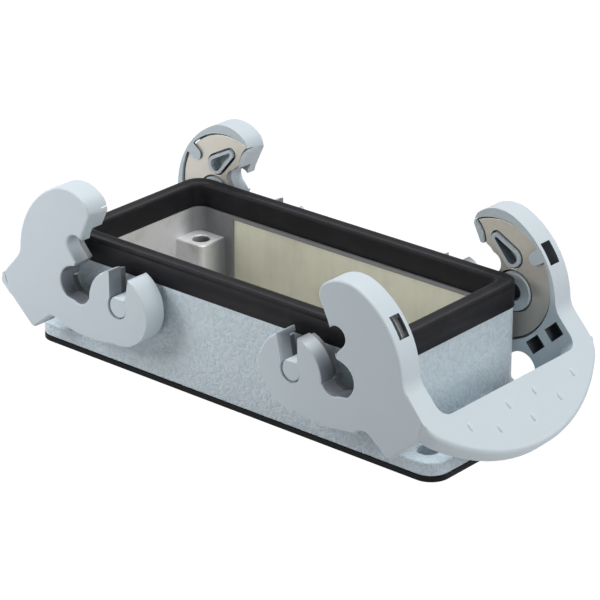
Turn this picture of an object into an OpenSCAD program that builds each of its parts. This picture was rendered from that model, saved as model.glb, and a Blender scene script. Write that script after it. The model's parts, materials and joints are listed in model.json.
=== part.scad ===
// Bulkhead housing of a heavy duty rectangular connector, with a locking lever at each end.
// X runs along the length, Y across it, Z up. The origin is the bottom centre of the flange gasket.

/* [Insert] */
// Distance between the insert screws along the length, which sets the length of the housing
insert_dx = 77.5; // [57:0.5:104]
// Distance between the insert screws across the width, which sets the width of the housing
insert_dy = 27; // [25:0.5:33]
// Distance from an insert screw to the end of the opening
screw_end = 4.25; // [3.6:0.05:5]
// Distance from an insert screw to the side of the opening
screw_side = 4; // [3.5:0.05:4.8]
// Side of an insert screw's boss
boss_s = 7.5; // [6.4:0.1:8.8]
// Height of the boss tops above the gasket's underside
boss_h = 18; // [15:0.5:20]
// Diameter of the screw hole in a boss
boss_hole_d = 4; // [3:0.1:4.8]
// Depth of the screw hole in a boss
boss_hole_depth = 11; // [8:0.5:13]

/* [Housing] */
// Thickness of the end walls
end_wall = 3.5; // [3:0.1:4.2]
// Thickness of the side walls
side_wall = 4; // [3.4:0.1:4.8]
// Height from the gasket's underside to the top of the painted wall
wall_h = 23.5; // [20:0.5:28]
// Radius of the upright edges of the body
body_r = 4.2; // [3:0.2:5]
// Radius of the opening's upright corners
open_r = 2.5; // [1.5:0.5:3.5]
// Reach of the mounting flange beyond the end walls
flange_reach = 11; // [9:0.5:14]
// Thickness of the mounting flange
flange_t = 3.2; // [2.6:0.1:4]
// Radius of the flange corners
flange_r = 4.5; // [3:0.5:5.5]
// Thickness of the gasket under the flange
gasket_t = 1.2; // [0.8:0.1:2]
// Radius of the cove where the body meets the flange
cove_r = 2.6; // [1.5:0.1:3]

/* [Mounting holes] */
// Distance from an end wall to the middle of a flange hole
hole_out = 5; // [4.2:0.1:6]
// Distance from the flange's long edge to the middle of a flange hole
hole_edge = 5.5; // [4.5:0.1:7]
// Diameter of the flange holes
hole_d = 4.5; // [3.6:0.1:5.4]

/* [Rim seal] */
// Height of the rim that the seal sits on
rim_h = 3.8; // [3:0.1:4.5]
// Thickness of the seal on top of the rim
seal_cap = 2; // [1.4:0.1:2.4]
// Thickness of the seal's outer skirt
skirt_out = 1.15; // [0.9:0.05:1.3]
// Thickness of the seal's inner skirt
skirt_in = 0.8; // [0.6:0.05:0.95]
// Width of the seal's top
seal_w = 3.6; // [3.4:0.1:3.7]

/* [Lever pivots] */
// Distance from the end of the body to a pivot
pivot_inset = 21.7; // [19:0.1:26]
// Height of a pivot above the gasket's underside
pivot_h = 18.6; // [17:0.1:21]
// Diameter of the cast pivot pins
pin_d = 4.9; // [4.5:0.1:5.2]
// Running gap round a pivot pin
pin_gap = 0.3; // [0.15:0.05:0.4]
// Height of the spacing pad round a pin's root
pad_h = 0.9; // [0.7:0.05:1]

/* [Levers] */
// Gap between the body and a lever's cheeks
lever_gap = 1.3; // [1.1:0.05:1.5]
// Thickness of a cheek
cheek_t = 5.8; // [5.2:0.1:6.4]
// Reach of a cheek's back from its pivot, which sets its whole outline and the handle's place
cheek_r = 30; // [26:0.5:34]
// Radius of the hub round the pivot
hub_r = 8.6; // [7.4:0.1:9.6]
// Slope of the handle when the lever is open
handle_tilt = 48; // [45:1:51]
// Width of the handle from its inner edge to the middle of its front
handle_w = 14.4; // [12.4:0.1:16.4]
// Thickness of the handle
handle_t = 4; // [3.4:0.1:4.6]
// Distance from the handle's inner edge back to the middle of its corners' rounding
corner_back = 1; // [0:0.1:2]
// Radius of the handle's corners
handle_corner_r = 6.8; // [6:0.1:7.6]
// Reach of the cheek's foot past the handle's inner edge
foot_reach = 1.65; // [1.2:0.05:2.2]
// Depth of the cheek's foot below the handle's top
foot_depth = 14.3; // [13.6:0.1:15]

/* [Cam plates] */
// Thickness of the steel cam plates
plate_t = 1.5; // [1.2:0.1:1.8]
// Depth of a plate's face below the cheek's inner face
plate_sink = 0.5; // [0.3:0.1:0.7]
// Gap between a plate's edge and the moulding round it
plate_gap = 0.4; // [0.25:0.05:0.45]

/* [Hidden] */

$fn = 64;
// Overrun of the cuts past the faces that they open
over = 0.6;
// Clearance of the seal's skirts on the rim
seal_gap = 0.05;

open_l = insert_dx + 2 * screw_end;
open_w = insert_dy + 2 * screw_side;
body_l = open_l + 2 * end_wall;
body_w = open_w + 2 * side_wall;
flange_l = body_l + 2 * flange_reach;
flange_z = gasket_t + flange_t;
hole_dx = body_l + 2 * hole_out;
hole_dy = body_w - 2 * hole_edge;
rim_top = wall_h + rim_h;
seal_top = rim_top + seal_cap;
pivot_x = body_l / 2 - pivot_inset;
cheek_in = body_w / 2 + lever_gap;
cheek_out = cheek_in + cheek_t;
hole_r = pin_d / 2 + pin_gap;
plate_in = cheek_in + plate_sink;
plate_out = plate_in + plate_t;

// Seal: how far its rim stands proud of the end walls, and how far the inner skirt stops above the wall's edge
seal_proud = 0.3;
inner_step = 0.4;
// Recessed panel in each long inner wall: its depth, the two margins to the wall's ends and the band above it
panel_depth = 0.5;
panel_near = 10.4;
panel_far = 5;
panel_band = 0.5;
// Rounding of a boss's free edge
boss_r = 1.4;
// Height of a pin's flat over its axis, how far the pin stops inside the cheek and its pad's radius
pin_flat = 2;
pin_short = 0.4;
pad_r = 5;

// Places and radii of a cheek's outline, as shares of its reach
fin_centre_shares = [0.333, 0.177];
fin_r_share = 0.657;
crest_centre_shares = [0.433, 0.62];
crest_r_share = 0.18;
brow_shares = [0.337, 0.465];
notch_centre_shares = [0.41, 0.37];
notch_r_share = 0.08;
tongue_shares = [[0.4, 0.24], [0.443, 0.193]];
pocket_centre_shares = [0.433, 0.063];
pocket_r_share = 0.133;
pocket_floor_shares = [0.38, 0.02];
pocket_floor_r_share = 0.093;
belly_x_share = 0.283;
belly_r_share = 1.023;
belly_drop_share = 0.332;
heel_centre_shares = [0.657, -0.35];
heel_r_share = 0.09;
relief_centre_shares = [0.707, -0.367];
relief_r_share = 0.127;
handle_shares = [1.19, -0.057];
neck_r_share = 0.167;
toe_r_share = 0.04;

// Places and radii on the inner side of a cheek, as shares of its reach
plate_centre_shares = [0.483, 0.267];
plate_r_share = 0.447;
bite_centre_shares = [0.307, 0.367];
bite_r_share = 0.14;
peg_shares = [[0.45, 0.573], [0.593, 0.458]];
peg_r_shares = [0.037, 0.073];
ring_centre_shares = [0.613, 0.203];
ring_r_share = 0.145;
ring_core_share = 0.07;
nose_centre_shares = [0.145, 0.503];
nose_r_share = 0.197;
hub_room_share = 0.8;
clip_shares = [0.829, 0.527];
clip_size_shares = [0.087, 0.1];
window_shares = [0.875, 0.549];
window_size_shares = [0.2, 0.1, 0.17];
window_in_share = 0.08;

// Hub: how far its centre lies below the pivot
hub_drop = 0.4;
// Slot for the pin: how far its two walls stand from the pivot, and how far the far one leans out
slot_near = 2.1;
slot_far = 2.2;
slot_lean = 1.7;
// Sloping facet on the hub's outer face: how far from the pivot it begins, which way it lies and its slope
facet_in = 4.8;
facet_turn = 222;
facet_tilt = 5;
// Wall of the hollow pegs, how deep their cores go and the size of the two pockets by the handle
peg_wall = 0.75;
core_depth = 2.6;
pocket_l = 4;
pocket_w = 3.1;
pocket_depth = 3.9;
pocket_back = 5.3;
pocket_depths = [3.5, 9.9];
// Rounding of the handle's inner corners, and how far its ends run into the cheeks
inner_r = 2.8;
handle_root = 6;

function at(shares) = cheek_r * shares;
function ring(c, r, a, b, n = 12) = [for (i = [0:n]) c + r * [cos(a + (b - a) * i / n), sin(a + (b - a) * i / n)]];

// Directions down the handle's slope and out of its top face, and its inner edge beside the pivot
slope = [cos(handle_tilt), -sin(handle_tilt)];
lift = [sin(handle_tilt), cos(handle_tilt)];
edge = at(handle_shares);

// Radius and centre of the handle's bowed front, which runs into the rounding of its corners
corner_y = cheek_out - handle_corner_r;
bow_depth = handle_w + corner_back;
bow_r = (bow_depth * bow_depth + corner_y * corner_y - handle_corner_r * handle_corner_r)
    / (2 * (bow_depth - handle_corner_r));
bow_centre = handle_w - bow_r;
corner_a = atan2(corner_y, -corner_back - bow_centre);

// Concave neck between the fin's back and the handle's top line
fin_c = at(fin_centre_shares);
fin_r = at(fin_r_share);
neck_r = at(neck_r_share);
neck_reach = fin_r + neck_r;
neck_a = 90 - handle_tilt - acos((neck_r + (edge - fin_c) * lift) / neck_reach);
neck_c = fin_c + neck_reach * [cos(neck_a), sin(neck_a)];

// Upright slab with rounded edges
module slab(l, w, r, h) {
    linear_extrude(h) union() {
        square([l - 2 * r, w], center = true);
        square([l, w - 2 * r], center = true);
        for (x = [-1, 1], y = [-1, 1]) translate([x * (l / 2 - r), y * (w / 2 - r)]) circle(r);
    }
}

// The same thing at each corner of a rectangle
module corners(dx, dy) {
    for (x = [-1, 1], y = [-1, 1]) translate([x * dx / 2, y * dy / 2, 0]) children();
}

// Solid with an X-Z outline, between two distances in front of the middle plane
module across(near, far) {
    translate([0, -near, 0]) rotate([90, 0, 0]) linear_extrude(far - near) children();
}

// One block of metal for an insert screw, joined to both walls of its corner
module boss() {
    left = (insert_dx - boss_s) / 2;
    front = (insert_dy - boss_s) / 2;
    right = open_l / 2 + over;
    back = open_w / 2 + over;
    translate([0, 0, gasket_t]) linear_extrude(boss_h - gasket_t) union() {
        translate([left + boss_r, front]) square([right - left - boss_r, back - front]);
        translate([left, front + boss_r]) square([right - left, back - front - boss_r]);
        translate([left + boss_r, front + boss_r]) circle(boss_r);
    }
}

// Recess in the rear inner wall
module wall_panel() {
    translate([-open_l / 2 + panel_near, open_w / 2 - over, gasket_t - over])
        cube([open_l - panel_near - panel_far, panel_depth + over, wall_h - panel_band - gasket_t + over]);
}

// Section of the cove, beside an upright line that lies inside the wall by the radius of its edges
module cove_section() {
    difference() {
        translate([body_r - over, flange_z - over]) square([cove_r + over, cove_r + over]);
        translate([body_r + cove_r, flange_z + cove_r]) circle(cove_r);
    }
}

// Cove at the foot of one end wall, which turns round its upright edges and runs out at the flange's sides
module cove() {
    span = body_w - 2 * body_r;
    intersection() {
        translate([0, 0, gasket_t]) slab(flange_l, body_w, flange_r, wall_h);
        translate([body_l / 2 - body_r, 0, 0]) union() {
            translate([0, span / 2, 0]) rotate([90, 0, 0]) linear_extrude(span) cove_section();
            for (y = [-1, 1]) translate([0, y * span / 2, 0]) rotate_extrude() cove_section();
        }
    }
}

// Pivot pin on the front wall, with the flat that lets the lever snap on
module pin() {
    root = body_w / 2 - over;
    difference() {
        union() {
            translate([0, -root, 0]) rotate([90, 0, 0]) cylinder(d = pin_d, h = cheek_out - pin_short - root);
            translate([0, -root, 0]) rotate([90, 0, 0]) cylinder(r = pad_r, h = over + pad_h);
        }
        translate([-pin_d, -cheek_out - over, pin_flat]) cube([2 * pin_d, cheek_t + over, pin_d]);
    }
}

module housing() {
    rim_out = seal_proud - skirt_out - seal_gap;
    rim_in = seal_w - seal_proud - skirt_in - seal_gap;
    color("lightsteelblue") difference() {
        union() {
            difference() {
                union() {
                    translate([0, 0, gasket_t]) slab(flange_l, body_w, flange_r, flange_t);
                    translate([0, 0, gasket_t]) slab(body_l, body_w, body_r, wall_h - gasket_t);
                    translate([0, 0, gasket_t])
                        slab(body_l + 2 * rim_out, body_w + 2 * (rim_out - seal_proud), body_r + rim_out - seal_proud,
                             rim_top - gasket_t);
                    cove();
                    mirror([1, 0, 0]) cove();
                }
                translate([0, 0, gasket_t - over]) slab(open_l, open_w, open_r, rim_top + over);
                translate([0, 0, wall_h + inner_step])
                    slab(body_l - 2 * rim_in, body_w - 2 * (rim_in + seal_proud), open_r + skirt_in, rim_h);
                wall_panel();
                rotate([0, 0, 180]) wall_panel();
            }
            for (x = [0, 1], y = [0, 1]) mirror([x, 0, 0]) mirror([0, y, 0]) boss();
            for (x = [-1, 1], y = [0, 1]) mirror([0, y, 0]) translate([x * pivot_x, 0, pivot_h]) pin();
        }
        corners(hole_dx, hole_dy) translate([0, 0, gasket_t - over]) cylinder(d = hole_d, h = flange_t + 2 * over);
        corners(insert_dx, insert_dy) translate([0, 0, boss_h - boss_hole_depth])
            cylinder(d = boss_hole_d, h = boss_hole_depth + over);
    }
}

module rim_seal() {
    in_l = body_l + 2 * seal_proud - 2 * seal_w;
    in_w = body_w - 2 * seal_w;
    color("#202024") difference() {
        translate([0, 0, wall_h]) slab(body_l + 2 * seal_proud, body_w, body_r, seal_top - wall_h);
        translate([0, 0, wall_h - over]) slab(in_l, in_w, open_r, seal_top - wall_h + 2 * over);
        difference() {
            translate([0, 0, wall_h - over])
                slab(body_l + 2 * (seal_proud - skirt_out), body_w - 2 * skirt_out, body_r - skirt_out, rim_h + over);
            translate([0, 0, wall_h + inner_step])
                slab(in_l + 2 * skirt_in, in_w + 2 * skirt_in, open_r + skirt_in, rim_h);
        }
        translate([0, 0, wall_h - over])
            slab(in_l + 2 * skirt_in, in_w + 2 * skirt_in, open_r + skirt_in, inner_step + over);
    }
}

module flange_gasket() {
    color("#26262a") difference() {
        slab(flange_l, body_w, flange_r, gasket_t);
        translate([0, 0, -over]) slab(open_l, open_w, open_r, gasket_t + 2 * over);
        corners(hole_dx, hole_dy) translate([0, 0, -over]) cylinder(d = hole_d, h = gasket_t + 2 * over);
    }
}

// Part of a cheek beyond its hub: belly, foot, back, crest, notch, tongue and the cam pocket's walls
module cheek_blade() {
    belly_c = [at(belly_x_share), at(belly_r_share - belly_drop_share)];
    foot_top = edge + foot_reach * slope;
    toe_r = at(toe_r_share);
    toe_c = foot_top - (foot_depth - toe_r) * lift - toe_r * slope;
    polygon(concat(
        [[0, -hub_r / 2]],
        ring(belly_c, at(belly_r_share), 252, 282),
        ring(at(heel_centre_shares), at(heel_r_share), 150, 50, 6),
        ring(toe_c, toe_r, 250, 360 - handle_tilt, 4),
        [foot_top - handle_t * lift, edge - corner_back * slope],
        ring(neck_c, neck_r, 270 - handle_tilt, 180 + neck_a, 6),
        ring(fin_c, fin_r, neck_a, 72, 16),
        ring(at(crest_centre_shares), at(crest_r_share), 78, 175, 10),
        [at(brow_shares)],
        ring(at(notch_centre_shares), at(notch_r_share), 140, -35, 8),
        at(tongue_shares),
        ring(at(pocket_centre_shares), at(pocket_r_share), 86, -55),
        ring(at(pocket_floor_shares), at(pocket_floor_r_share), -60, -160, 8),
        [[hub_r / 2, 0]]));
}

// Slot through which a cheek snaps onto its pin
module pin_slot() {
    top = hub_r + over;
    polygon([[-slot_far, 0], [slot_near, 0], [slot_near, top], [-slot_far - slot_lean, top]]);
    circle(hole_r);
}

// Wedge that a cheek's outer face loses at the hub's far side
module hub_facet() {
    rotate([90, 0, 0]) translate([0, 0, cheek_out]) rotate([0, 0, facet_turn]) translate([facet_in, 0, 0])
        rotate([0, facet_tilt, 0]) translate([0, -2 * hub_r, 0]) cube([2 * hub_r, 4 * hub_r, cheek_t]);
}

// Hollow locating peg, teardrop in outline, grown by an amount
module peg(grow) {
    a = at(peg_shares[0]);
    b = at(peg_shares[1]);
    turn = atan2(b[1] - a[1], b[0] - a[0]);
    ra = at(peg_r_shares[0]) + grow;
    rb = at(peg_r_shares[1]) + grow;
    tilt = acos((ra - rb) / norm(b - a));
    translate(a) circle(ra);
    translate(b) circle(rb);
    polygon([for (p = [[a, ra, tilt], [b, rb, tilt], [b, rb, -tilt], [a, ra, -tilt]])
        p[0] + p[1] * [cos(turn + p[2]), sin(turn + p[2])]]);
}

// Round peg beside the cam pocket, grown by an amount
module cam_peg(grow) {
    translate(at(ring_centre_shares)) circle(at(ring_r_share) + grow);
}

// Room that the cam plate takes in a cheek's inner side, grown by an amount
module plate_room(grow) {
    centre = at(plate_centre_shares);
    hub_room_r = hub_room_share * (hub_r - hub_drop) + grow;
    translate(centre) circle(at(plate_r_share) + grow);
    circle(hub_room_r);
    polygon([[0, -hub_room_r], centre - [0, at(plate_r_share) + grow], centre, [0, hub_room_r]]);
}

// Rounded bite above the tongue, which the inner side has in place of the notch
module bite() {
    translate(at(bite_centre_shares)) circle(at(bite_r_share));
}

// Round region of the nose, whose moulding stands in front of the cam plate's end, grown by an amount
module nose(grow) {
    translate(at(nose_centre_shares)) circle(at(nose_r_share) + grow);
}

// Front cheek of a lever, about its pivot
module cheek() {
    skin = cheek_in + cheek_t / 2;
    difference() {
        across(cheek_in, cheek_out) difference() {
            union() {
                translate([0, -hub_drop]) circle(hub_r);
                cheek_blade();
            }
            pin_slot();
        }
        across(cheek_in - over, plate_out) difference() {
            plate_room(plate_gap);
            nose(0);
            peg(0);
            cam_peg(0);
        }
        across(cheek_in - over, skin) bite();
        across(cheek_in - over, skin) translate(at(relief_centre_shares)) circle(at(relief_r_share));
        across(cheek_in - over, cheek_in + core_depth) peg(-peg_wall);
        across(cheek_in - over, cheek_in + core_depth) translate(at(ring_centre_shares)) circle(at(ring_core_share));
        marker_window();
        hub_facet();
    }
    clip();
}

// Window through a cheek's back, behind the clip
module marker_window() {
    place = at(window_shares);
    turn = atan2(place[1] - fin_c[1], place[0] - fin_c[0]);
    translate([place[0], -cheek_in - at(window_in_share), place[1]]) rotate([0, -turn, 0])
        cube(at(window_size_shares), center = true);
}

// The two pockets in a cheek's inner side, by the handle
module pockets() {
    for (d = pocket_depths) across(cheek_in - over, cheek_in + pocket_depth)
        translate(edge - pocket_back * slope - d * lift) rotate(-handle_tilt)
            square([pocket_w, pocket_l], center = true);
}

// Small hook that holds the cam plate's edge
module clip() {
    size = at(clip_size_shares);
    place = at(clip_shares);
    turn = atan2(place[1] - fin_c[1], place[0] - fin_c[0]);
    across(cheek_in, plate_in) translate(place) rotate(turn) union() {
        square([size[0], size[1]], center = true);
        translate([-size[0] / 2, 0]) circle(d = size[1]);
    }
}

// Sloping handle that joins the two cheeks
module handle() {
    right = concat(
        ring([bow_centre, 0], bow_r, 0, corner_a),
        ring([-corner_back, corner_y], handle_corner_r, corner_a, 90, 8),
        [[-handle_root, cheek_out], [-handle_root, cheek_in]],
        ring([-inner_r, cheek_in - inner_r], inner_r, 90, 0, 6));
    left = [for (i = [len(right) - 1:-1:1]) [right[i][0], -right[i][1]]];
    translate([edge[0], 0, edge[1]]) rotate([0, handle_tilt, 0]) translate([0, 0, -handle_t])
        linear_extrude(handle_t) polygon(concat(right, left));
}

module lever() {
    color("gainsboro") difference() {
        union() {
            cheek();
            mirror([0, 1, 0]) cheek();
            handle();
        }
        pockets();
        mirror([0, 1, 0]) pockets();
    }
}

// Front cam plate of a lever, about its pivot
module cam_plate() {
    color("#c8c2b4") across(plate_in, plate_out) difference() {
        intersection() {
            plate_room(0);
            union() {
                translate([0, -hub_drop]) circle(hub_r - plate_gap);
                cheek_blade();
            }
        }
        nose(plate_gap);
        bite();
        pin_slot();
        peg(plate_gap);
        cam_peg(plate_gap);
    }
}

module on_right() {
    translate([pivot_x, 0, pivot_h]) children();
}

module right_lever() { on_right() lever(); }
module right_front_cam_plate() { on_right() cam_plate(); }
module right_rear_cam_plate() { mirror([0, 1, 0]) on_right() cam_plate(); }
module left_lever() { mirror([1, 0, 0]) on_right() lever(); }
module left_front_cam_plate() { mirror([1, 0, 0]) on_right() cam_plate(); }
module left_rear_cam_plate() { mirror([1, 0, 0]) mirror([0, 1, 0]) on_right() cam_plate(); }

housing();
rim_seal();
flange_gasket();
right_lever();
right_front_cam_plate();
right_rear_cam_plate();
left_lever();
left_front_cam_plate();
left_rear_cam_plate();
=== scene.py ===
"""Looks of the rectangular connector housing: hammer paint, bare casting, rubber seal, moulded levers, steel cams."""

import json
import math

import bmesh
import bpy
import numpy as np
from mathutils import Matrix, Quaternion, Vector


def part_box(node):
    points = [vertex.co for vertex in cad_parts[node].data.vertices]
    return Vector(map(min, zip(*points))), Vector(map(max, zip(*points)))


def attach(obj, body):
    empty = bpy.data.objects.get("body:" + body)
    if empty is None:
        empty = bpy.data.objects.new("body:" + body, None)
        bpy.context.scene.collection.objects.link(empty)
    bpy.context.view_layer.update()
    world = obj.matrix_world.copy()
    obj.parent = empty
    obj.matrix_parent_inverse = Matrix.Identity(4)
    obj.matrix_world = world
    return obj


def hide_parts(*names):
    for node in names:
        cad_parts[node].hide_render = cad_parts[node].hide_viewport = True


bl_info = {
    "name": "Rectangular Connector Housing",
    "version": (1, 0, 0),
    "blender": (4, 5, 0),
    "location": "View3D > Sidebar > Connector",
    "description": "Finishes a flanged connector housing with its rim seal, locking levers and cam plates",
    "category": "Object",
}

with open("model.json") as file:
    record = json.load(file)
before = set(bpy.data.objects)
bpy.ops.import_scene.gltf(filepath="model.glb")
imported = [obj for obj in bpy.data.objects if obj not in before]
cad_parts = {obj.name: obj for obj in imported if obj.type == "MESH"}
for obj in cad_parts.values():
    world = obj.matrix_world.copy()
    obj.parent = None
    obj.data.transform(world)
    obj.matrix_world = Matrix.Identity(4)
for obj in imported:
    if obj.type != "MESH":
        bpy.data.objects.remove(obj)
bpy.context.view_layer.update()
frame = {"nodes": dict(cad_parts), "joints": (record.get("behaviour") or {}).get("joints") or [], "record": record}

MM = 0.001
SIDES = ("right", "left")
CHEEKS = ("front", "rear")
BODY_OF = {node: body for body, nodes in frame["record"]["behaviour"]["bodies"].items() for node in nodes}
PIVOT_OF = {joint["child"]: np.array(joint["pos_m"]) for joint in frame["joints"]}

# Edges that turn by less than this are part of a curved surface
SMOOTH_TURN = math.radians(28)
# Two faces that turn by more than this and are both larger than this are facets with a crisp edge
FACET_TURN = math.radians(3)
FACET_AREA = 15 * MM * MM
# Points closer than this are one, and faces that turn by less than the second value are one plane
MERGE = 1e-6
FLAT_TURN = math.radians(0.3)

# Painted shade starts at the first value and is full at the second: on the casting from the middle out along Y,
# and on the cam plates from above down along Z
CORNER_SHADE = (10 * MM, 16.5 * MM)
PLATE_SHADE = (30 * MM, 19 * MM)


def length(name, description, default, **more):
    """A size property in metres."""
    return bpy.props.FloatProperty(
        name=name, description=description, default=default, min=0, precision=5, unit="LENGTH", **more
    )


def colour(name, description, default):
    """A colour property, linear red, green and blue."""
    return bpy.props.FloatVectorProperty(
        name=name, description=description, default=default, min=0, max=1, size=3, subtype="COLOR"
    )


class CONNECTOR_PG_colours(bpy.types.PropertyGroup):
    """Colours of the finishes."""

    paint: colour("Paint", "Ground colour of the hammer paint", (0.68, 0.78, 0.84))
    paint_vein: colour("Paint veins", "Darker colour between the paint's flakes", (0.51, 0.60, 0.66))
    casting: colour("Bare casting", "Unpainted metal inside the housing", (0.74, 0.75, 0.76))
    casting_stain: colour("Casting stain", "Brownish clouds on the unpainted metal", (0.50, 0.44, 0.38))
    casting_corner: colour("Casting corner", "Painted shade in the housing's inner corners", (0.16, 0.17, 0.18))
    # Boss top: lighter casting on the upward faces of the insert bosses
    boss_top: colour("Boss top", "Cleaner metal on the insert bosses", (0.86, 0.86, 0.88))
    panel: colour("Panel", "Pale passivated panels inside the long walls", (0.90, 0.89, 0.73))
    rubber: colour("Rubber", "Rim seal", (0.013, 0.013, 0.015))
    gasket: colour("Gasket", "Flat gasket under the flange", (0.004, 0.005, 0.006))
    plastic: colour("Plastic", "Moulded levers", (0.62, 0.70, 0.75))
    recess: colour("Plastic recess", "Painted shade in the levers' pockets and windows", (0.13, 0.15, 0.17))
    shaded: colour("Shaded plastic", "Painted shade in the levers' pin slots and cam pockets", (0.20, 0.22, 0.25))
    steel: colour("Steel", "Cam plates", (0.72, 0.69, 0.62))
    steel_edge: colour("Steel edge", "Sheared edges of the cam plates", (0.24, 0.25, 0.26))


class CONNECTOR_PG_edges(bpy.types.PropertyGroup):
    """Roundings of the edges."""

    cast: length("Cast edge", "Rounding of the casting's outer edges", 0.45 * MM)
    boss: length("Boss edge", "Rounding of the insert bosses", 0.45 * MM)
    cheek: length("Cheek edge", "Rounding of a lever's outer faces", 0.55 * MM)
    handle: length("Handle edge", "Rounding of a handle's bowed rim", 1.0 * MM)
    pin: length("Pin edge", "Rounding of the pivot pins' ends", 0.22 * MM)
    slot: length("Slot reach", "Reach about the pivot in which a lever's edges stay crisp", 4.2 * MM)
    plate: length("Plate edge", "Rounding of the cam plates", 0.14 * MM)


class CONNECTOR_PG_seal(bpy.types.PropertyGroup):
    """Section of the rim seal."""

    width: length("Width", "Width of the seal's top", 3.6 * MM)
    skirt_out: length("Outer skirt", "Thickness of the outer skirt", 1.15 * MM)
    skirt_in: length("Inner skirt", "Thickness of the inner skirt", 0.8 * MM)
    cap: length("Cap", "Thickness over the rim", 2 * MM)
    lift: length("Inner lift", "How far the inner skirt ends above the outer one", 0.4 * MM)
    corner_out: length("Outer corner", "Radius of the outer corners", 4.2 * MM)
    corner_in: length("Inner corner", "Radius of the inner corners", 2.5 * MM)


class CONNECTOR_PG_grip(bpy.types.PropertyGroup):
    """Raised grip marks on the handles."""

    slope: bpy.props.FloatProperty(
        name="Slope", description="Slope of the open handles", default=math.radians(48), unit="ROTATION"
    )
    edge_x: length("Edge distance", "From the pivot to the handle's inner edge", 35.7 * MM)
    edge_z: length("Edge drop", "From the pivot down to the handle's inner edge", 1.71 * MM)
    long: length("Mark length", "Length of a grip mark", 1.9 * MM)
    wide: length("Mark width", "Width of a grip mark", 1.0 * MM)
    high: length("Mark height", "Height of a grip mark over the handle", 0.28 * MM)


class CONNECTOR_PG_stage(bpy.types.PropertyGroup):
    """Camera and light."""

    azimuth: bpy.props.FloatProperty(
        name="Azimuth", description="Camera's turn round the part", default=math.radians(40.919), unit="ROTATION"
    )
    elevation: bpy.props.FloatProperty(
        name="Elevation", description="Camera's height as an angle", default=math.radians(23.506), unit="ROTATION"
    )
    roll: bpy.props.FloatProperty(
        name="Roll", description="Camera's turn about its own axis", default=math.radians(-0.134), unit="ROTATION"
    )
    distance: length("Distance", "From the camera to its target", 641.74 * MM)
    target: bpy.props.FloatVectorProperty(
        name="Target", description="Point the camera looks at", default=(2.895 * MM, 0, 18.847 * MM), unit="LENGTH"
    )
    lens: bpy.props.FloatProperty(name="Lens", description="Focal length in millimetres", default=177.36)
    sky: bpy.props.FloatProperty(name="Sky", description="Strength of the even light", default=0.06)


class CONNECTOR_PG_settings(bpy.types.PropertyGroup):
    """All settings of the connector housing."""

    colours: bpy.props.PointerProperty(type=CONNECTOR_PG_colours, name="Colours", description="Finish colours")
    edges: bpy.props.PointerProperty(type=CONNECTOR_PG_edges, name="Edges", description="Edge roundings")
    seal: bpy.props.PointerProperty(type=CONNECTOR_PG_seal, name="Seal", description="Rim seal section")
    grip: bpy.props.PointerProperty(type=CONNECTOR_PG_grip, name="Grip", description="Handle grip marks")
    stage: bpy.props.PointerProperty(type=CONNECTOR_PG_stage, name="Stage", description="Camera and light")


class Value:
    """A socket's value that changes over a surface; sums with it add Math nodes."""

    def __init__(self, shading, socket):
        self.shading = shading
        self.socket = socket

    def math(self, operation, *terms):
        return self.shading.node("ShaderNodeMath", {"operation": operation}, dict(enumerate(terms)))

    def __add__(self, other):
        return self.math("ADD", self, other)

    __radd__ = __add__

    def __sub__(self, other):
        return self.math("SUBTRACT", self, other)

    def __rsub__(self, other):
        return self.math("SUBTRACT", other, self)

    def __mul__(self, other):
        return self.math("MULTIPLY", self, other)

    __rmul__ = __mul__

    def __abs__(self):
        return self.math("ABSOLUTE", self)


class Shading:
    """A node tree of a material or a world."""

    def __init__(self, owner):
        owner.use_nodes = True
        self.tree = owner.node_tree
        self.tree.nodes.clear()

    def node(self, kind, settings=None, inputs=None, output=0):
        """Adds a node with its settings, then its socket values or links, and gives one output."""
        made = self.tree.nodes.new(kind)
        for name, value in (settings or {}).items():
            setattr(made, name, value)
        for key, value in (inputs or {}).items():
            if isinstance(value, Value):
                self.tree.links.new(value.socket, made.inputs[key])
            else:
                made.inputs[key].default_value = value
        return Value(self, made.outputs[output]) if made.outputs else made

    def by_ray(self, others, seen):
        """One value for light that falls on surfaces, and one for what the camera, mirrors and glass see."""
        path = self.tree.nodes.new("ShaderNodeLightPath").outputs
        kinds = (Value(self, path[f"Is {kind} Ray"]) for kind in ("Camera", "Glossy", "Transmission"))
        return others + (seen - others) * sum(kinds)


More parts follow.
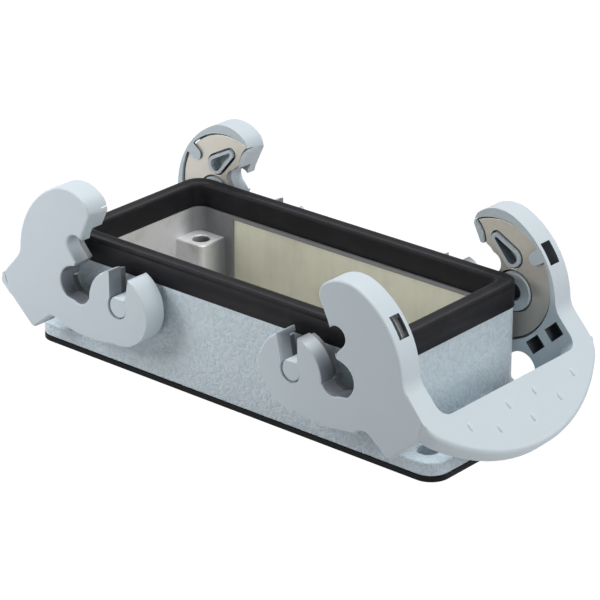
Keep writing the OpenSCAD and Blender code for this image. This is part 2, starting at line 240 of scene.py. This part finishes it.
class Finish(Shading):
    """One procedural material, whose patterns follow the piece's own Object coordinates."""

    def __init__(self, name):
        self.material = bpy.data.materials.new(name)
        super().__init__(self.material)
        self.place = self.node("ShaderNodeTexCoord", output="Object")

    def placed(self, scale=(1, 1, 1), turn=(0, 0, 0)):
        """Object coordinates, turned and then stretched by axis."""
        turned = self.node("ShaderNodeMapping", {}, {"Vector": self.place, "Rotation": turn})
        return self.node("ShaderNodeMapping", {}, {"Vector": turned, "Scale": scale})

    def noise(self, scale, detail=2.0, roughness=0.5, vector=None):
        """Smooth noise from 0 to 1, with scale in cells a metre."""
        inputs = {"Vector": vector or self.place, "Scale": scale, "Detail": detail, "Roughness": roughness}
        return self.node("ShaderNodeTexNoise", {}, inputs)

    def cells(self, scale, smoothness, vector):
        """Distance from the middle of the nearest cell, with scale in cells a metre."""
        inputs = {"Vector": vector, "Scale": scale, "Smoothness": smoothness}
        return self.node("ShaderNodeTexVoronoi", {"feature": "SMOOTH_F1"}, inputs)

    def between(self, value, start, end):
        """0 up to start, 1 from end on, with a smooth step between them. End may be the lower of the two."""
        settings = {"interpolation_type": "SMOOTHSTEP"}
        return self.node("ShaderNodeMapRange", settings, {"Value": value, "From Min": start, "From Max": end})

    def blend(self, share, first, second):
        """Mix of two colours."""
        one, two = (c if isinstance(c, Value) else (*c, 1) for c in (first, second))
        settings = {"data_type": "RGBA", "clamp_factor": True}
        return self.node("ShaderNodeMix", settings, {0: share, 6: one, 7: two}, output=2)

    def bump(self, height, depth, strength):
        """Normal of a relief of that depth in metres."""
        return self.node("ShaderNodeBump", {}, {"Height": height, "Distance": depth, "Strength": strength})

    def surface(self, base, roughness, normal, metallic=0.0, gloss=0.5):
        """Ends the material in one Principled shader."""
        sockets = {
            "Base Color": base if isinstance(base, Value) else (*base, 1),
            "Roughness": roughness, "Normal": normal, "Metallic": metallic, "Specular IOR Level": gloss,
        }
        shader = self.node("ShaderNodeBsdfPrincipled", {}, sockets)
        self.node("ShaderNodeOutputMaterial", {}, {"Surface": shader})
        return self.material


def hammer_paint(c):
    """Textured powder coat: a fine speckle of raised flecks with darker hollows between them."""
    f = Finish("hammer_paint")
    wobble = f.noise(520, detail=2)
    bent = f.node("ShaderNodeVectorMath", {"operation": "MULTIPLY_ADD"}, {0: wobble, 1: (0.0012,) * 3, 2: f.place})
    flakes = f.cells(1000, 0.5, bent)
    worms = f.between(abs(f.noise(680, detail=1, vector=bent) - 0.5), 0, 0.11)
    grain = f.noise(2600, detail=2, roughness=0.65)
    relief = 0.5 * flakes + 0.3 * worms + 0.25 * grain
    hollow = f.between(0.45 * flakes + 0.35 * worms, 0.25, 0.75)
    tint = f.blend(0.55 * hollow, c.paint, c.paint_vein)
    return f.surface(tint, 0.22 + 0.16 * grain, f.bump(relief, 0.26 * MM, 1))


def pin_paint(c):
    """Smooth paint on the cast pivot pins, the colour of the levers."""
    f = Finish("pin_paint")
    grain = f.noise(2600, detail=2)
    return f.surface(c.plastic, 0.36 + 0.1 * grain, f.bump(grain, 0.01 * MM, 0.5))


def bare_casting(c):
    """Unpainted die casting with flow marks and brownish clouds, and painted shade towards the long walls."""
    f = Finish("bare_casting")
    clouds = f.noise(160, detail=4, roughness=0.6)
    flow = f.noise(520, detail=3)
    stain = f.between(clouds, 0.5, 0.74)
    across = f.node("ShaderNodeSeparateXYZ", {}, {0: f.place}, output="Y")
    shade = f.between(abs(across), *CORNER_SHADE)
    tint = f.blend(0.55 * stain, c.casting, c.casting_stain)
    tint = f.blend(0.85 * shade, tint, c.casting_corner)
    relief = clouds + 0.6 * flow
    return f.surface(tint, 0.34 + 0.25 * flow, f.bump(relief, 0.09 * MM, 0.6), metallic=0.2)


def boss_metal(c):
    """Lighter casting on the upward tops of the insert bosses, without the casting's stains and painted shade."""
    f = Finish("boss_metal")
    flow = f.noise(700, detail=3)
    tint = f.blend(0.4 * flow, c.boss_top, c.casting)
    return f.surface(tint, 0.3 + 0.2 * flow, f.bump(flow, 0.04 * MM, 0.5), metallic=0.2)


def pale_panel(c):
    """Passivated panel: pale yellow-grey with faint upright streaks and soft clouds."""
    f = Finish("pale_panel")
    streaks = f.noise(1, detail=4, roughness=0.6, vector=f.placed(scale=(420, 420, 34)))
    clouds = f.noise(95, detail=4, roughness=0.6)
    tone = f.between(0.35 * streaks + 0.65 * clouds, 0.36, 0.66)
    tint = f.blend(0.5 * tone, c.panel, tuple(0.74 * x for x in c.panel))
    relief = streaks + 0.5 * clouds
    return f.surface(tint, 0.36 + 0.14 * clouds, f.bump(relief, 0.04 * MM, 0.5))


def rubber(name, tint):
    """Moulded black rubber, finely matt with a faint bloom."""
    f = Finish(name)
    grain = f.noise(3200, detail=2)
    bloom = f.noise(210, detail=3)
    base = f.blend(0.5 * f.between(bloom, 0.4, 0.8), tint, tuple(1.6 * x + 0.004 for x in tint))
    return f.surface(base, 0.46 + 0.14 * grain, f.bump(grain + bloom, 0.012 * MM, 0.5), gloss=0.12)


def lever_plastic(name, tint, shaded):
    """Glass-filled plastic with a satin moulded surface, and painted shade by the mesh's shade attribute."""
    f = Finish(name)
    grain = f.noise(3000, detail=2, roughness=0.6)
    flow = f.noise(85, detail=3)
    base = f.blend(0.4 * flow, tint, tuple(0.94 * x for x in tint))
    shade = f.node("ShaderNodeAttribute", {"attribute_name": "shade"}, output="Fac")
    base = f.blend(shade, base, shaded)
    return f.surface(base, 0.4 + 0.1 * grain, f.bump(grain + 0.6 * flow, 0.014 * MM, 0.5))


def cam_steel(name, metal):
    """Stamped stainless steel with fine grinding lines along the plate, and painted shade where it lies low at rest."""
    f = Finish(name)
    along = f.placed(scale=(130, 900, 2600), turn=(0, math.radians(38), 0))
    lines = f.noise(1, detail=3, roughness=0.65, vector=along)
    clouds = f.noise(240, detail=2)
    tint = f.blend(0.3 * lines, metal, tuple(0.78 * x for x in metal))
    height = f.node("ShaderNodeSeparateXYZ", {}, {0: f.place}, output="Z")
    shade = f.between(height, *PLATE_SHADE)
    tint = f.blend(0.55 * shade, tint, tuple(0.3 * x for x in metal))
    return f.surface(tint, 0.3 + 0.16 * lines + 0.06 * clouds, f.bump(lines, 0.012 * MM, 0.5), metallic=0.45)


def floor_finish():
    """Pale floor that the camera, mirrors and glass see as white. It mostly glows, so the part's shadow is lost."""
    f = Finish("studio_floor")
    drift = f.noise(1.6, detail=1)
    matt = f.node("ShaderNodeBsdfDiffuse", {}, {"Color": f.blend(drift, (0.5, 0.5, 0.5), (0.48, 0.48, 0.49))})
    glow = f.node("ShaderNodeEmission", {}, {"Color": (1, 1, 1, 1), "Strength": 1.1})
    mixed = f.node("ShaderNodeMixShader", {}, {0: f.by_ray(0, 0.9), 1: matt, 2: glow})
    f.node("ShaderNodeOutputMaterial", {}, {"Surface": mixed})
    return f.material


def read(items, field, width, kind=np.float32):
    """A mesh field as an array with that many columns."""
    flat = np.empty(len(items) * width, kind)
    items.foreach_get(field, flat)
    return flat.reshape(-1, width) if width > 1 else flat


def edge_facts(mesh):
    """Each edge's two end points, the angle between its two faces, their smaller area, and whether it stands out.

    Every edge of a closed mesh has two corners. The second face lies along its normal crossed with its own
    direction on the edge, and the edge stands out where that points below the first face."""
    points = read(mesh.vertices, "co", 3)
    corner_edge = read(mesh.loops, "edge_index", 1, np.int32)
    corner_point = read(mesh.loops, "vertex_index", 1, np.int32)
    counts = read(mesh.polygons, "loop_total", 1, np.int32)
    normals = read(mesh.polygons, "normal", 3)
    areas = read(mesh.polygons, "area", 1)
    face_of = np.repeat(np.arange(len(counts)), counts)
    following = np.arange(len(corner_edge)) + 1
    following[np.cumsum(counts) - 1] = np.cumsum(counts) - counts
    along = points[corner_point[following]] - points[corner_point]
    first, second = np.argsort(corner_edge, kind="stable").reshape(-1, 2).T
    n1, n2 = normals[face_of[first]], normals[face_of[second]]
    turn = np.arccos(np.clip((n1 * n2).sum(1), -1, 1))
    stands_out = (np.cross(n2, along[second]) * n1).sum(1) < 0
    ends = points[read(mesh.edges, "vertices", 2, np.int32)]
    area = np.minimum(areas[face_of[first]], areas[face_of[second]])
    return ends[:, 0], ends[:, 1], turn, area, stands_out


def set_attribute(mesh, name, kind, domain, values):
    """Writes a named attribute as one array."""
    found = mesh.attributes.get(name) or mesh.attributes.new(name, kind, domain)
    found.data.foreach_set("value", values)


def merged_copy(node, name):
    """A CAD node's mesh as a new piece for modifiers: points merged and flat neighbours joined."""
    mesh = frame["nodes"][node].data.copy()
    mesh.name = name
    work = bmesh.new()
    work.from_mesh(mesh)
    bmesh.ops.remove_doubles(work, verts=work.verts[:], dist=MERGE)
    bmesh.ops.dissolve_limit(work, angle_limit=FLAT_TURN, verts=work.verts[:], edges=work.edges[:])
    work.to_mesh(mesh)
    work.free()
    for name_left in ("custom_normal", "sharp_face", "sharp_edge"):
        if name_left in mesh.attributes:
            mesh.attributes.remove(mesh.attributes[name_left])
    mesh.materials.clear()
    return add_piece(name, mesh)


def add_piece(name, mesh):
    """Links a mesh as an object at the origin."""
    piece = bpy.data.objects.new(name, mesh)
    bpy.context.scene.collection.objects.link(piece)
    return piece


def round_edges(piece, choose, segments=3):
    """Rounds the sharp edges. choose(start, end, stands_out) gives each edge's rounding in metres, 0 for none."""
    mesh = piece.data
    start, end, turn, area, stands_out = edge_facts(mesh)
    sharp = turn > SMOOTH_TURN
    sizes = np.where(sharp, choose(start, end, stands_out), 0).astype(np.float32)
    widest = float(sizes.max())
    crease = (turn > FACET_TURN) & (area > FACET_AREA)
    set_attribute(mesh, "bevel_weight_edge", "FLOAT", "EDGE", sizes / widest)
    set_attribute(mesh, "sharp_edge", "BOOLEAN", "EDGE", (sharp | crease) & (sizes == 0))
    bevel = piece.modifiers.new("rounding", "BEVEL")
    bevel.limit_method = "WEIGHT"
    bevel.width = widest
    bevel.segments = segments
    bevel.use_clamp_overlap = False
    bevel.miter_outer = "MITER_ARC"
    even = piece.modifiers.new("even_normals", "WEIGHTED_NORMAL")
    even.keep_sharp = True
    return piece


def shade_smooth(mesh):
    """Smooth shading over the whole mesh."""
    mesh.polygons.foreach_set("use_smooth", np.ones(len(mesh.polygons), bool))


def mirror_of(side):
    """Factor that makes +X point outwards on either side."""
    return np.array((1 if side == "right" else -1, 1, 1))


def from_pivot(points, side):
    """Points as seen from a lever's pivot, with +X outwards."""
    return (points - PIVOT_OF[f"{side}_lever"]) * mirror_of(side)


def near(values, level, slack=0.03 * MM):
    """Where both columns of values lie at a level."""
    return (np.abs(values - level) < slack).all(1)


def grid_faces(rows, columns, close_rows, close_columns, copies=1):
    """Quads of a grid of points, row by row, closed round where asked, for a number of equal grids."""
    row = np.arange(rows if close_rows else rows - 1)[:, None]
    column = np.arange(columns if close_columns else columns - 1)[None, :]
    next_row, next_column = (row + 1) % rows, (column + 1) % columns
    quads = np.stack(
        np.broadcast_arrays(
            row * columns + column, next_row * columns + column,
            next_row * columns + next_column, row * columns + next_column,
        ),
        axis=-1,
    ).reshape(-1, 4)
    return (quads[None] + (np.arange(copies) * rows * columns)[:, None, None]).reshape(-1, 4)


def grid_piece(name, points, faces):
    """A new piece from an array of points and an array of quads; doubles at its poles are merged."""
    mesh = bpy.data.meshes.new(name)
    mesh.from_pydata(points.reshape(-1, 3), [], faces)
    work = bmesh.new()
    work.from_mesh(mesh)
    bmesh.ops.remove_doubles(work, verts=work.verts[:], dist=MERGE)
    bmesh.ops.recalc_face_normals(work, faces=work.faces[:])
    work.to_mesh(mesh)
    work.free()
    shade_smooth(mesh)
    return add_piece(name, mesh)


def settle(piece, node_names, body):
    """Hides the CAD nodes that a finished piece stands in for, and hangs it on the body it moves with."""
    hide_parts(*node_names)
    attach(piece, body)


class CONNECTOR_OT_housing(bpy.types.Operator):
    """Cast housing with hammer paint outside and bare metal inside"""

    bl_idname = "connector.housing"
    bl_label = "Housing"

    # From the rim seal's outer faces in to the casting's end walls, and to its inner faces along x and y
    end_wall = 0.3 * MM
    inner = (3.2 * MM, 2.9 * MM)
    # Height at which the bare inside begins, and distance of the pale panels from the middle along y
    inside_z = 1.25 * MM
    panel_y = 17.7 * MM
    # How far past the seal's outer face the pins' painted faces and their rounded edges begin
    pin_faces = 0.6 * MM
    pin_edges = 0.7 * MM

    def execute(self, context):
        settings = context.scene.connector
        low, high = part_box("rim_seal")
        wall = (high.x - self.end_wall, high.y)
        slack = 0.2 * MM
        piece = merged_copy("housing", "cast_housing")
        self.paint_faces(piece.data, settings)

        def choose(start, end, stands_out):
            """Outer edges of the casting, and the bosses' edges below the rim."""
            middle = (start + end) / 2
            outside = (np.abs(middle[:, 0]) > wall[0] - slack) | (np.abs(middle[:, 1]) > wall[1] - slack)
            pins = np.abs(middle[:, 1]) > wall[1] + self.pin_edges
            level = np.abs(start[:, 2] - end[:, 2]) < MERGE
            boss = ~outside & (middle[:, 2] < low.z) & (middle[:, 2] > low.z / 2) & level
            sizes = np.where(outside, settings.edges.cast, 0)
            sizes = np.where(pins, settings.edges.pin, sizes)
            sizes = np.where(boss, settings.edges.boss, sizes)
            return np.where(stands_out & (middle[:, 2] < low.z - MERGE), sizes, 0)

        shade_smooth(piece.data)
        round_edges(piece, choose)
        settle(piece, ["housing"], BODY_OF["housing"])
        return {"FINISHED"}

    def paint_faces(self, mesh, settings):
        """Chooses each face's finish by where it lies: paint outside, bare inside, pale on the wall panels."""
        low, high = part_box("rim_seal")
        inner_x, inner_y = high.x - self.inner[0], high.y - self.inner[1]
        for finish in (hammer_paint, bare_casting, pale_panel, boss_metal, pin_paint):
            mesh.materials.append(finish(settings.colours))
        centre = read(mesh.polygons, "center", 3)
        normal = read(mesh.polygons, "normal", 3)
        far_y = np.abs(centre[:, 1])
        inside = (np.abs(centre[:, 0]) < inner_x) & (far_y < inner_y) & (centre[:, 2] > self.inside_z)
        panel = inside & (far_y > self.panel_y) & (np.abs(normal[:, 1]) > 0.9)
        pin = far_y > high.y + self.pin_faces
        boss = inside & (normal[:, 2] > 0.9) & (centre[:, 2] < low.z)
        index = np.select([pin, panel, boss, inside], [4, 2, 3, 1], 0)
        mesh.polygons.foreach_set("material_index", index.astype(np.int32))


class CONNECTOR_OT_seals(bpy.types.Operator):
    """Rubber rim seal with its lips, and the flat gasket"""

    bl_idname = "connector.seals"
    bl_label = "Seals"

    def execute(self, context):
        settings = context.scene.connector
        colours = settings.colours
        points = self.swept_section(settings.seal)
        faces = grid_faces(*points.shape[:2], True, True)
        seal = grid_piece("rim_seal_rubber", points, faces)
        seal.data.materials.append(rubber("seal_rubber", tuple(colours.rubber)))
        settle(seal, ["rim_seal"], BODY_OF["rim_seal"])
        gasket = frame["nodes"]["flange_gasket"]
        gasket.data.materials.clear()
        gasket.data.materials.append(rubber("gasket_rubber", tuple(colours.gasket)))
        return {"FINISHED"}

    @staticmethod
    def swept_section(size):
        """The seal's section carried round a rounded rectangle.

        A section point has an inset from the outer wall and a height. At each inset the path is the outer
        rectangle taken in by it, with a corner radius that goes evenly from the outer to the inner one."""
        low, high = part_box("rim_seal")
        width, top, cap = size.width, high.z, size.cap
        rim = top - cap
        foot = low.z + size.lift
        section = np.array([
            (0, low.z), (0, top - 1.25 * MM), (0.14 * MM, top - 1.1 * MM), (0.14 * MM, top - 0.85 * MM),
            (0.02 * MM, top - 0.7 * MM), (0.05 * MM, top - 0.3 * MM), (0.2 * MM, top - 0.1 * MM),
            (0.45 * MM, top), (0.8 * MM, top - 0.03 * MM), (1.1 * MM, top - 0.22 * MM), (1.5 * MM, top - 0.3 * MM),
            (2.1 * MM, top - 0.3 * MM), (2.5 * MM, top - 0.2 * MM), (2.8 * MM, top - 0.02 * MM),
            (3.1 * MM, top), (width - 0.2 * MM, top - 0.12 * MM), (width - 0.04 * MM, top - 0.4 * MM),
            (width, top - 0.8 * MM), (width, foot + 0.2 * MM), (width - 0.1 * MM, foot),
            (width - size.skirt_in, foot), (width - size.skirt_in, rim), (size.skirt_out, rim), (size.skirt_out, low.z),
        ])
        inset, height = section.T[:, None, :]
        share = inset / width
        radius = (1 - share) * size.corner_out + share * size.corner_in
        quarter = np.linspace(0, np.pi / 2, 13)
        angle = np.concatenate([quarter + k * np.pi / 2 for k in range(4)])[:, None]
        side_x = np.repeat([1, -1, -1, 1], len(quarter))[:, None]
        side_y = np.repeat([1, 1, -1, -1], len(quarter))[:, None]
        x = side_x * (high.x - inset - radius) + radius * np.cos(angle)
        y = side_y * (high.y - inset - radius) + radius * np.sin(angle)
        return np.stack(np.broadcast_arrays(x, y, height), axis=-1)


class CONNECTOR_OT_levers(bpy.types.Operator):
    """Moulded locking levers with rounded edges"""

    bl_idname = "connector.levers"
    bl_label = "Levers"

    def execute(self, context):
        settings = context.scene.connector
        colours = settings.colours
        tints = {"lever_plastic": colours.plastic, "lever_recess": colours.recess}
        finishes = [lever_plastic(name, tuple(tint), tuple(colours.shaded)) for name, tint in tints.items()]
        for side in SIDES:
            body = f"{side}_lever"
            piece = merged_copy(body, f"{side}_lever_moulding")
            for finish in finishes:
                piece.data.materials.append(finish)
            self.darken_recesses(piece.data, side)
            self.shade_walls(piece.data, side)
            self.smooth_crest(piece.data, side)
            shade_smooth(piece.data)
            round_edges(piece, self.chooser(side, settings), segments=4)
            settle(piece, [body], body)
        return {"FINISHED"}

    # Hollows with painted shade: their middle from the pivot along x and z, and their reach, in mm
    recesses = (
        (24.8, -4.3, 2.4), (29.6, -0.1, 2.4),  # pockets by the handle
        (24.8, 16.0, 3.2),  # marker window
        (12.6, 16.0, 0.6), (14.6, 14.4, 1.05), (16.6, 12.8, 1.6),  # teardrop peg
        (17.1, 5.7, 2.1),  # round peg
    )
    # Between which depths they lie, from the middle of the part
    recess_depth = (22.9 * MM, 27.2 * MM)
    # The lever's back: direction from the pivot along x and z, and how far out it begins
    back_line = (0.82, 0.57, 30.5 * MM)

    def darken_recesses(self, mesh, side):
        """Gives the faces in the pockets, the marker window and the hollow pegs the darker finish, which is painted
        shade.
        """
        centre = from_pivot(read(mesh.polygons, "center", 3), side)
        depth = np.abs(centre[:, 1])
        back = centre[:, 0] * self.back_line[0] + centre[:, 2] * self.back_line[1]
        inside = np.zeros(len(centre), bool)
        for x, z, reach in self.recesses:
            inside |= np.hypot(centre[:, 0] - x * MM, centre[:, 2] - z * MM) < reach * MM
        inside &= (depth > self.recess_depth[0]) & (depth < self.recess_depth[1]) & (back < self.back_line[2])
        mesh.polygons.foreach_set("material_index", inside.astype(np.int32))

    # Cam pocket and pin slot: middle from the pivot along x and z, reach of the full shade and where it ends, in mm
    shaded_walls = ((12.2, 1.4, 4.2, 8.5), (0, 5, 3.6, 4.7))

    def shade_walls(self, mesh, side):
        """Writes the painted shade of each corner of the upright walls: 1 near the cam pocket and the slot, 0 away."""
        corner_point = read(mesh.loops, "vertex_index", 1, np.int32)
        local = from_pivot(read(mesh.vertices, "co", 3), side)[corner_point]
        upright = np.abs(read(mesh.polygons, "normal", 3)[:, 1]) < 0.3
        upright = np.repeat(upright, read(mesh.polygons, "loop_total", 1, np.int32))
        shade = np.zeros(len(local))
        for x, z, full, end in self.shaded_walls:
            reach = np.hypot(local[:, 0] - x * MM, local[:, 2] - z * MM)
            shade = np.maximum(shade, np.clip((end * MM - reach) / ((end - full) * MM), 0, 1))
        set_attribute(mesh, "shade", "FLOAT", "CORNER", (shade * upright).astype(np.float32))

    # Arc in which the back runs into the crest: its middle from the pivot along x and z, and its radius, in mm
    crest = (14.56, 15.07, 8.93)
    # Where it starts and ends, in degrees from outwards, and how far off it an outline point may be
    crest_span = (66, 129)
    crest_slack = 0.45 * MM

    def smooth_crest(self, mesh, side):
        """Takes the outline's points at the crest onto one arc, along the line from the arc's middle."""
        x, z, radius = (value * MM for value in self.crest)
        points = read(mesh.vertices, "co", 3)
        local = from_pivot(points, side) - (x, 0, z)
        reach = np.hypot(local[:, 0], local[:, 2])
        angle = np.degrees(np.arctan2(local[:, 2], local[:, 0]))
        chosen = (angle > self.crest_span[0]) & (angle < self.crest_span[1])
        chosen &= np.abs(reach - radius) < self.crest_slack
        share = np.where(chosen, radius / np.maximum(reach, MERGE), 1)[:, None]
        moved = points + local * (share - 1) * (1, 0, 1) * mirror_of(side)
        mesh.vertices.foreach_set("co", moved.astype(np.float32).ravel())
        mesh.update()

    @staticmethod
    def chooser(side, settings):
        """Roundings by place: the bowed rim of the handle and the outer faces of the cheeks."""
        grip, edges = settings.grip, settings.edges
        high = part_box("right_lever")[1]
        flat, run_in, inset, slot_end = 0.05 * MM, 3 * MM, 0.2 * MM, 10 * MM

        def choose(start, end, stands_out):
            """The handle's rounding grows over the run-in down its slope; the slot's edges stay crisp."""
            local = [from_pivot(p, side) - (grip.edge_x, 0, -grip.edge_z) for p in (start, end)]
            down = [p[:, 0] * math.cos(grip.slope) - p[:, 2] * math.sin(grip.slope) for p in local]
            lift = [p[:, 0] * math.sin(grip.slope) + p[:, 2] * math.cos(grip.slope) for p in local]
            at_top = (np.abs(np.stack(lift, 1)) < flat).all(1)
            along = (down[0] + down[1]) / 2
            outer = near(np.abs(np.stack([start[:, 1], end[:, 1]], 1)), high.y)
            middle = from_pivot((start + end) / 2, side)
            slot = (np.abs(middle[:, 0]) < edges.slot) & (middle[:, 2] > -edges.slot)
            slot &= np.hypot(middle[:, 0], middle[:, 2]) < slot_end
            rim_share = np.clip(along / run_in, 0, 1)
            rim = edges.cheek + (edges.handle - edges.cheek) * rim_share
            sizes = np.where(outer & ~slot, edges.cheek, 0)
            sizes = np.where(at_top & (along > inset), rim, sizes)
            return np.where(stands_out, sizes, 0)

        return choose


class CONNECTOR_OT_grips(bpy.types.Operator):
    """Small raised grip marks on both handles"""

    bl_idname = "connector.grips"
    bl_label = "Grip marks"

    upper = ((4.2 * MM, -17.4 * MM), (3.8 * MM, -4.4 * MM), (3.8 * MM, 4.4 * MM), (4.2 * MM, 17.4 * MM))
    lower = ((7.3 * MM, -10.2 * MM), (8.5 * MM, 0), (7.3 * MM, 10.2 * MM))

    def execute(self, context):
        settings = context.scene.connector
        grip = settings.grip
        finish = lever_plastic("grip_plastic", tuple(settings.colours.plastic), tuple(settings.colours.shaded))
        spots = np.array(self.upper + self.lower)
        for side in SIDES:
            points, faces = self.marks(grip, spots)
            points = points * mirror_of(side) + PIVOT_OF[f"{side}_lever"]
            piece = grid_piece(f"{side}_grip_marks", points, faces)
            piece.data.materials.append(finish)
            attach(piece, f"{side}_lever")
        return {"FINISHED"}

    @staticmethod
    def marks(grip, spots):
        """Flattened ellipsoids whose long axis runs down the slope, each standing out by the mark's height.

        A point is the spot plus length, width and height times the cosine and sine of its two angles."""
        rings, around = 11, 16
        round_it = np.linspace(0, 2 * np.pi, around, endpoint=False)[None, :]
        up_it = np.linspace(-np.pi / 2, np.pi / 2, rings)[:, None]
        down = grip.long / 2 * np.cos(up_it) * np.cos(round_it)
        across = grip.wide / 2 * np.cos(up_it) * np.sin(round_it)
        lift = grip.high * np.sin(up_it) + 0 * round_it
        down = down + spots[:, 0, None, None]
        across = across + spots[:, 1, None, None]
        lift = lift + 0 * down
        x = grip.edge_x + down * math.cos(grip.slope) + lift * math.sin(grip.slope)
        z = -grip.edge_z - down * math.sin(grip.slope) + lift * math.cos(grip.slope)
        faces = grid_faces(rings, around, False, True, copies=len(spots))
        return np.stack([x, across, z], axis=-1), faces


class CONNECTOR_OT_cam_plates(bpy.types.Operator):
    """Stamped steel cam plates in the levers' cheeks"""

    bl_idname = "connector.cam_plates"
    bl_label = "Cam plates"

    def execute(self, context):
        settings = context.scene.connector
        colours = settings.colours
        finishes = cam_steel("cam_steel", tuple(colours.steel)), cam_steel("cam_edge", tuple(colours.steel_edge))
        rounding = settings.edges.plate
        for side in SIDES:
            for cheek in CHEEKS:
                node = f"{side}_{cheek}_cam_plate"
                piece = merged_copy(node, f"{node}_steel")
                for finish in finishes:
                    piece.data.materials.append(finish)
                edge = np.abs(read(piece.data.polygons, "normal", 3)[:, 1]) < 0.5
                piece.data.polygons.foreach_set("material_index", edge.astype(np.int32))
                shade_smooth(piece.data)
                round_edges(piece, lambda start, end, stands_out: np.where(stands_out, rounding, 0), segments=2)
                settle(piece, [node], f"{side}_lever")
        return {"FINISHED"}


class CONNECTOR_OT_stage(bpy.types.Operator):
    """Floor, even sky, soft lamps and the camera"""

    bl_idname = "connector.stage"
    bl_label = "Stage"

    # Each lamp: azimuth and elevation in degrees, distance and size in metres, power in watts
    lamps = {
        "top_softbox": (180, 76, 1.0, 0.6, 7.6),
        "left_softbox": (-40, 28, 0.27, 0.12, 0.32),
        "right_softbox": (85, 22, 0.6, 0.3, 1.3),
    }

    def execute(self, context):
        stage = context.scene.connector.stage
        self.add_floor()
        self.add_sky(context.scene, stage)
        for name, (azimuth, elevation, distance, size, power) in self.lamps.items():
            self.add_lamp(name, math.radians(azimuth), math.radians(elevation), distance, size, power)
        self.add_camera(context.scene, stage)
        context.scene.view_settings.view_transform = "Standard"
        return {"FINISHED"}

    @staticmethod
    def towards(azimuth, elevation):
        """Unit vector from the part to a viewer at that azimuth and elevation."""
        level = math.cos(elevation)
        return Vector((math.sin(azimuth) * level, -math.cos(azimuth) * level, math.sin(elevation)))

    @staticmethod
    def add_floor():
        """A wide flat floor just under the part, each point a step along x and y."""
        reach, across, drop = 4, 5, 0.02 * MM
        line = np.linspace(-reach, reach, across)
        x, y = np.meshgrid(line, line, indexing="ij")
        points = np.stack([x, y, np.full_like(x, -drop)], axis=-1)
        floor = grid_piece("floor", points, grid_faces(across, across, False, False))
        floor.data.materials.append(floor_finish())

    @staticmethod
    def add_sky(scene, stage):
        """Even light that the camera, mirrors and glass see as white."""
        world = bpy.data.worlds.new("studio")
        scene.world = world
        w = Shading(world)
        sky = w.node("ShaderNodeBackground", {}, {"Color": (1, 1, 1, 1), "Strength": w.by_ray(stage.sky, 1)})
        w.node("ShaderNodeOutputWorld", {}, {"Surface": sky})

    def add_lamp(self, name, azimuth, elevation, distance, size, power):
        """A square softbox that points at the part."""
        data = bpy.data.lights.new(name, "AREA")
        data.energy = power
        data.size = size
        lamp = bpy.data.objects.new(name, data)
        bpy.context.scene.collection.objects.link(lamp)
        back = self.towards(azimuth, elevation)
        lamp.location = back * distance
        lamp.rotation_mode = "QUATERNION"
        lamp.rotation_quaternion = (-back).to_track_quat("-Z", "Y")

    def add_camera(self, scene, stage):
        """Camera at the photographed angle."""
        data = bpy.data.cameras.new("camera")
        data.lens = stage.lens
        data.sensor_width = 36
        data.clip_start = 0.05
        data.clip_end = 20
        camera = bpy.data.objects.new("camera", data)
        scene.collection.objects.link(camera)
        back = self.towards(stage.azimuth, stage.elevation)
        camera.location = Vector(stage.target) + back * stage.distance
        camera.rotation_mode = "QUATERNION"
        roll = Quaternion((0, 0, 1), stage.roll)
        camera.rotation_quaternion = (-back).to_track_quat("-Z", "Y") @ roll
        scene.camera = camera


STEPS = (
    CONNECTOR_OT_housing,
    CONNECTOR_OT_seals,
    CONNECTOR_OT_levers,
    CONNECTOR_OT_grips,
    CONNECTOR_OT_cam_plates,
    CONNECTOR_OT_stage,
)


class CONNECTOR_PT_panel(bpy.types.Panel):
    """Lists the steps that dress the connector housing"""

    bl_idname = "CONNECTOR_PT_panel"
    bl_label = "Connector Housing"
    bl_space_type = "VIEW_3D"
    bl_region_type = "UI"
    bl_category = "Connector"

    def draw(self, context):
        settings = context.scene.connector
        for step in STEPS:
            self.layout.operator(step.bl_idname)
        for group in (settings.colours, settings.edges, settings.seal, settings.grip, settings.stage):
            box = self.layout.box()
            for name in group.__annotations__:
                box.prop(group, name)


CLASSES = (
    CONNECTOR_PG_colours,
    CONNECTOR_PG_edges,
    CONNECTOR_PG_seal,
    CONNECTOR_PG_grip,
    CONNECTOR_PG_stage,
    CONNECTOR_PG_settings,
    *STEPS,
    CONNECTOR_PT_panel,
)


def register():
    for cls in CLASSES:
        bpy.utils.register_class(cls)
    bpy.types.Scene.connector = bpy.props.PointerProperty(
        type=CONNECTOR_PG_settings, name="Connector", description="Settings of the connector housing"
    )


def unregister():
    del bpy.types.Scene.connector
    for cls in reversed(CLASSES):
        bpy.utils.unregister_class(cls)


def main():
    """Dresses the part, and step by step."""
    register()
    for step in STEPS:
        group, name = step.bl_idname.split(".")
        getattr(getattr(bpy.ops, group), name)()


if __name__ == "__main__":
    main()
